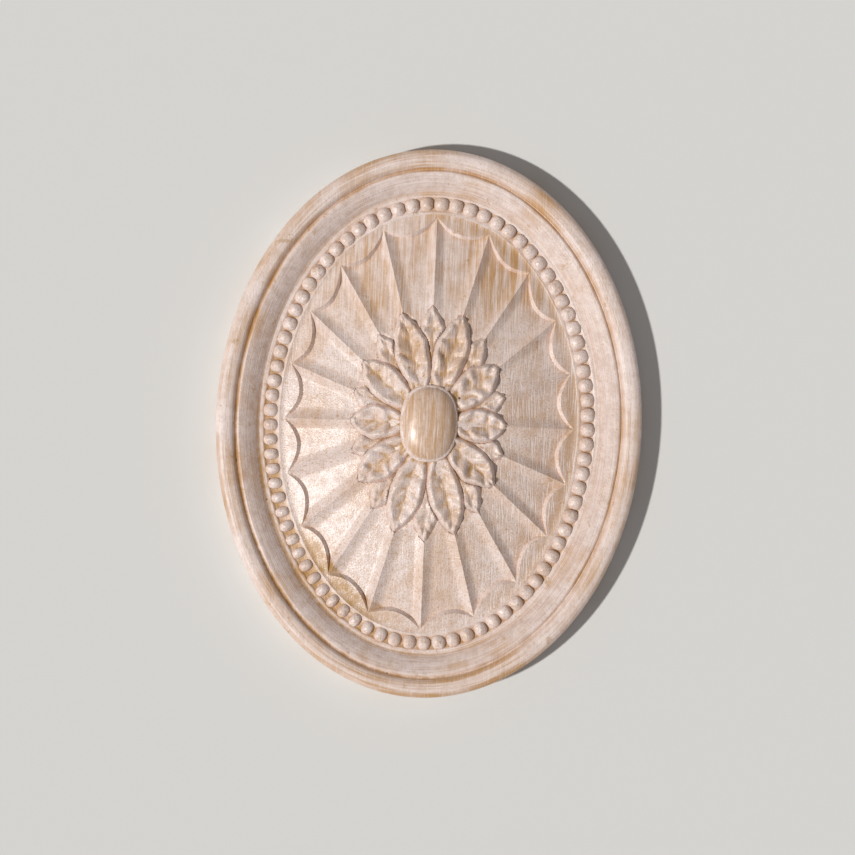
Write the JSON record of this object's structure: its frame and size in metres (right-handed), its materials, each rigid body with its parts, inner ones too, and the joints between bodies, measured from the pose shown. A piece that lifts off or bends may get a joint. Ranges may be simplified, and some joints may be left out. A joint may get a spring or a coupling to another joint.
{
  "type": "rosette applique",
  "caption": "Oval cast rosette applique with a moulded rim, a bead ring, scalloped flutes and a whorl of leaves round an oval boss, glued on by its flat back.",
  "frame": {"origin": "middle of the flat back, where the rosette is glued on", "axes": "+Z out of the carved face, +Y along the oval's long axis, +X along its short axis; it lies on its back at z = 0"},
  "size_m": [0.0854, 0.11, 0.012],
  "materials": {
    "limewashed_composition": "cast wood-flour and resin composition, tan, with a brushed pinkish-white limewash that leaves the tan showing in the hollows and on worn crests, satin"
  },
  "bodies": {
    "root": {"rosette_applique": "limewashed_composition"}
  },
  "joints": []
}
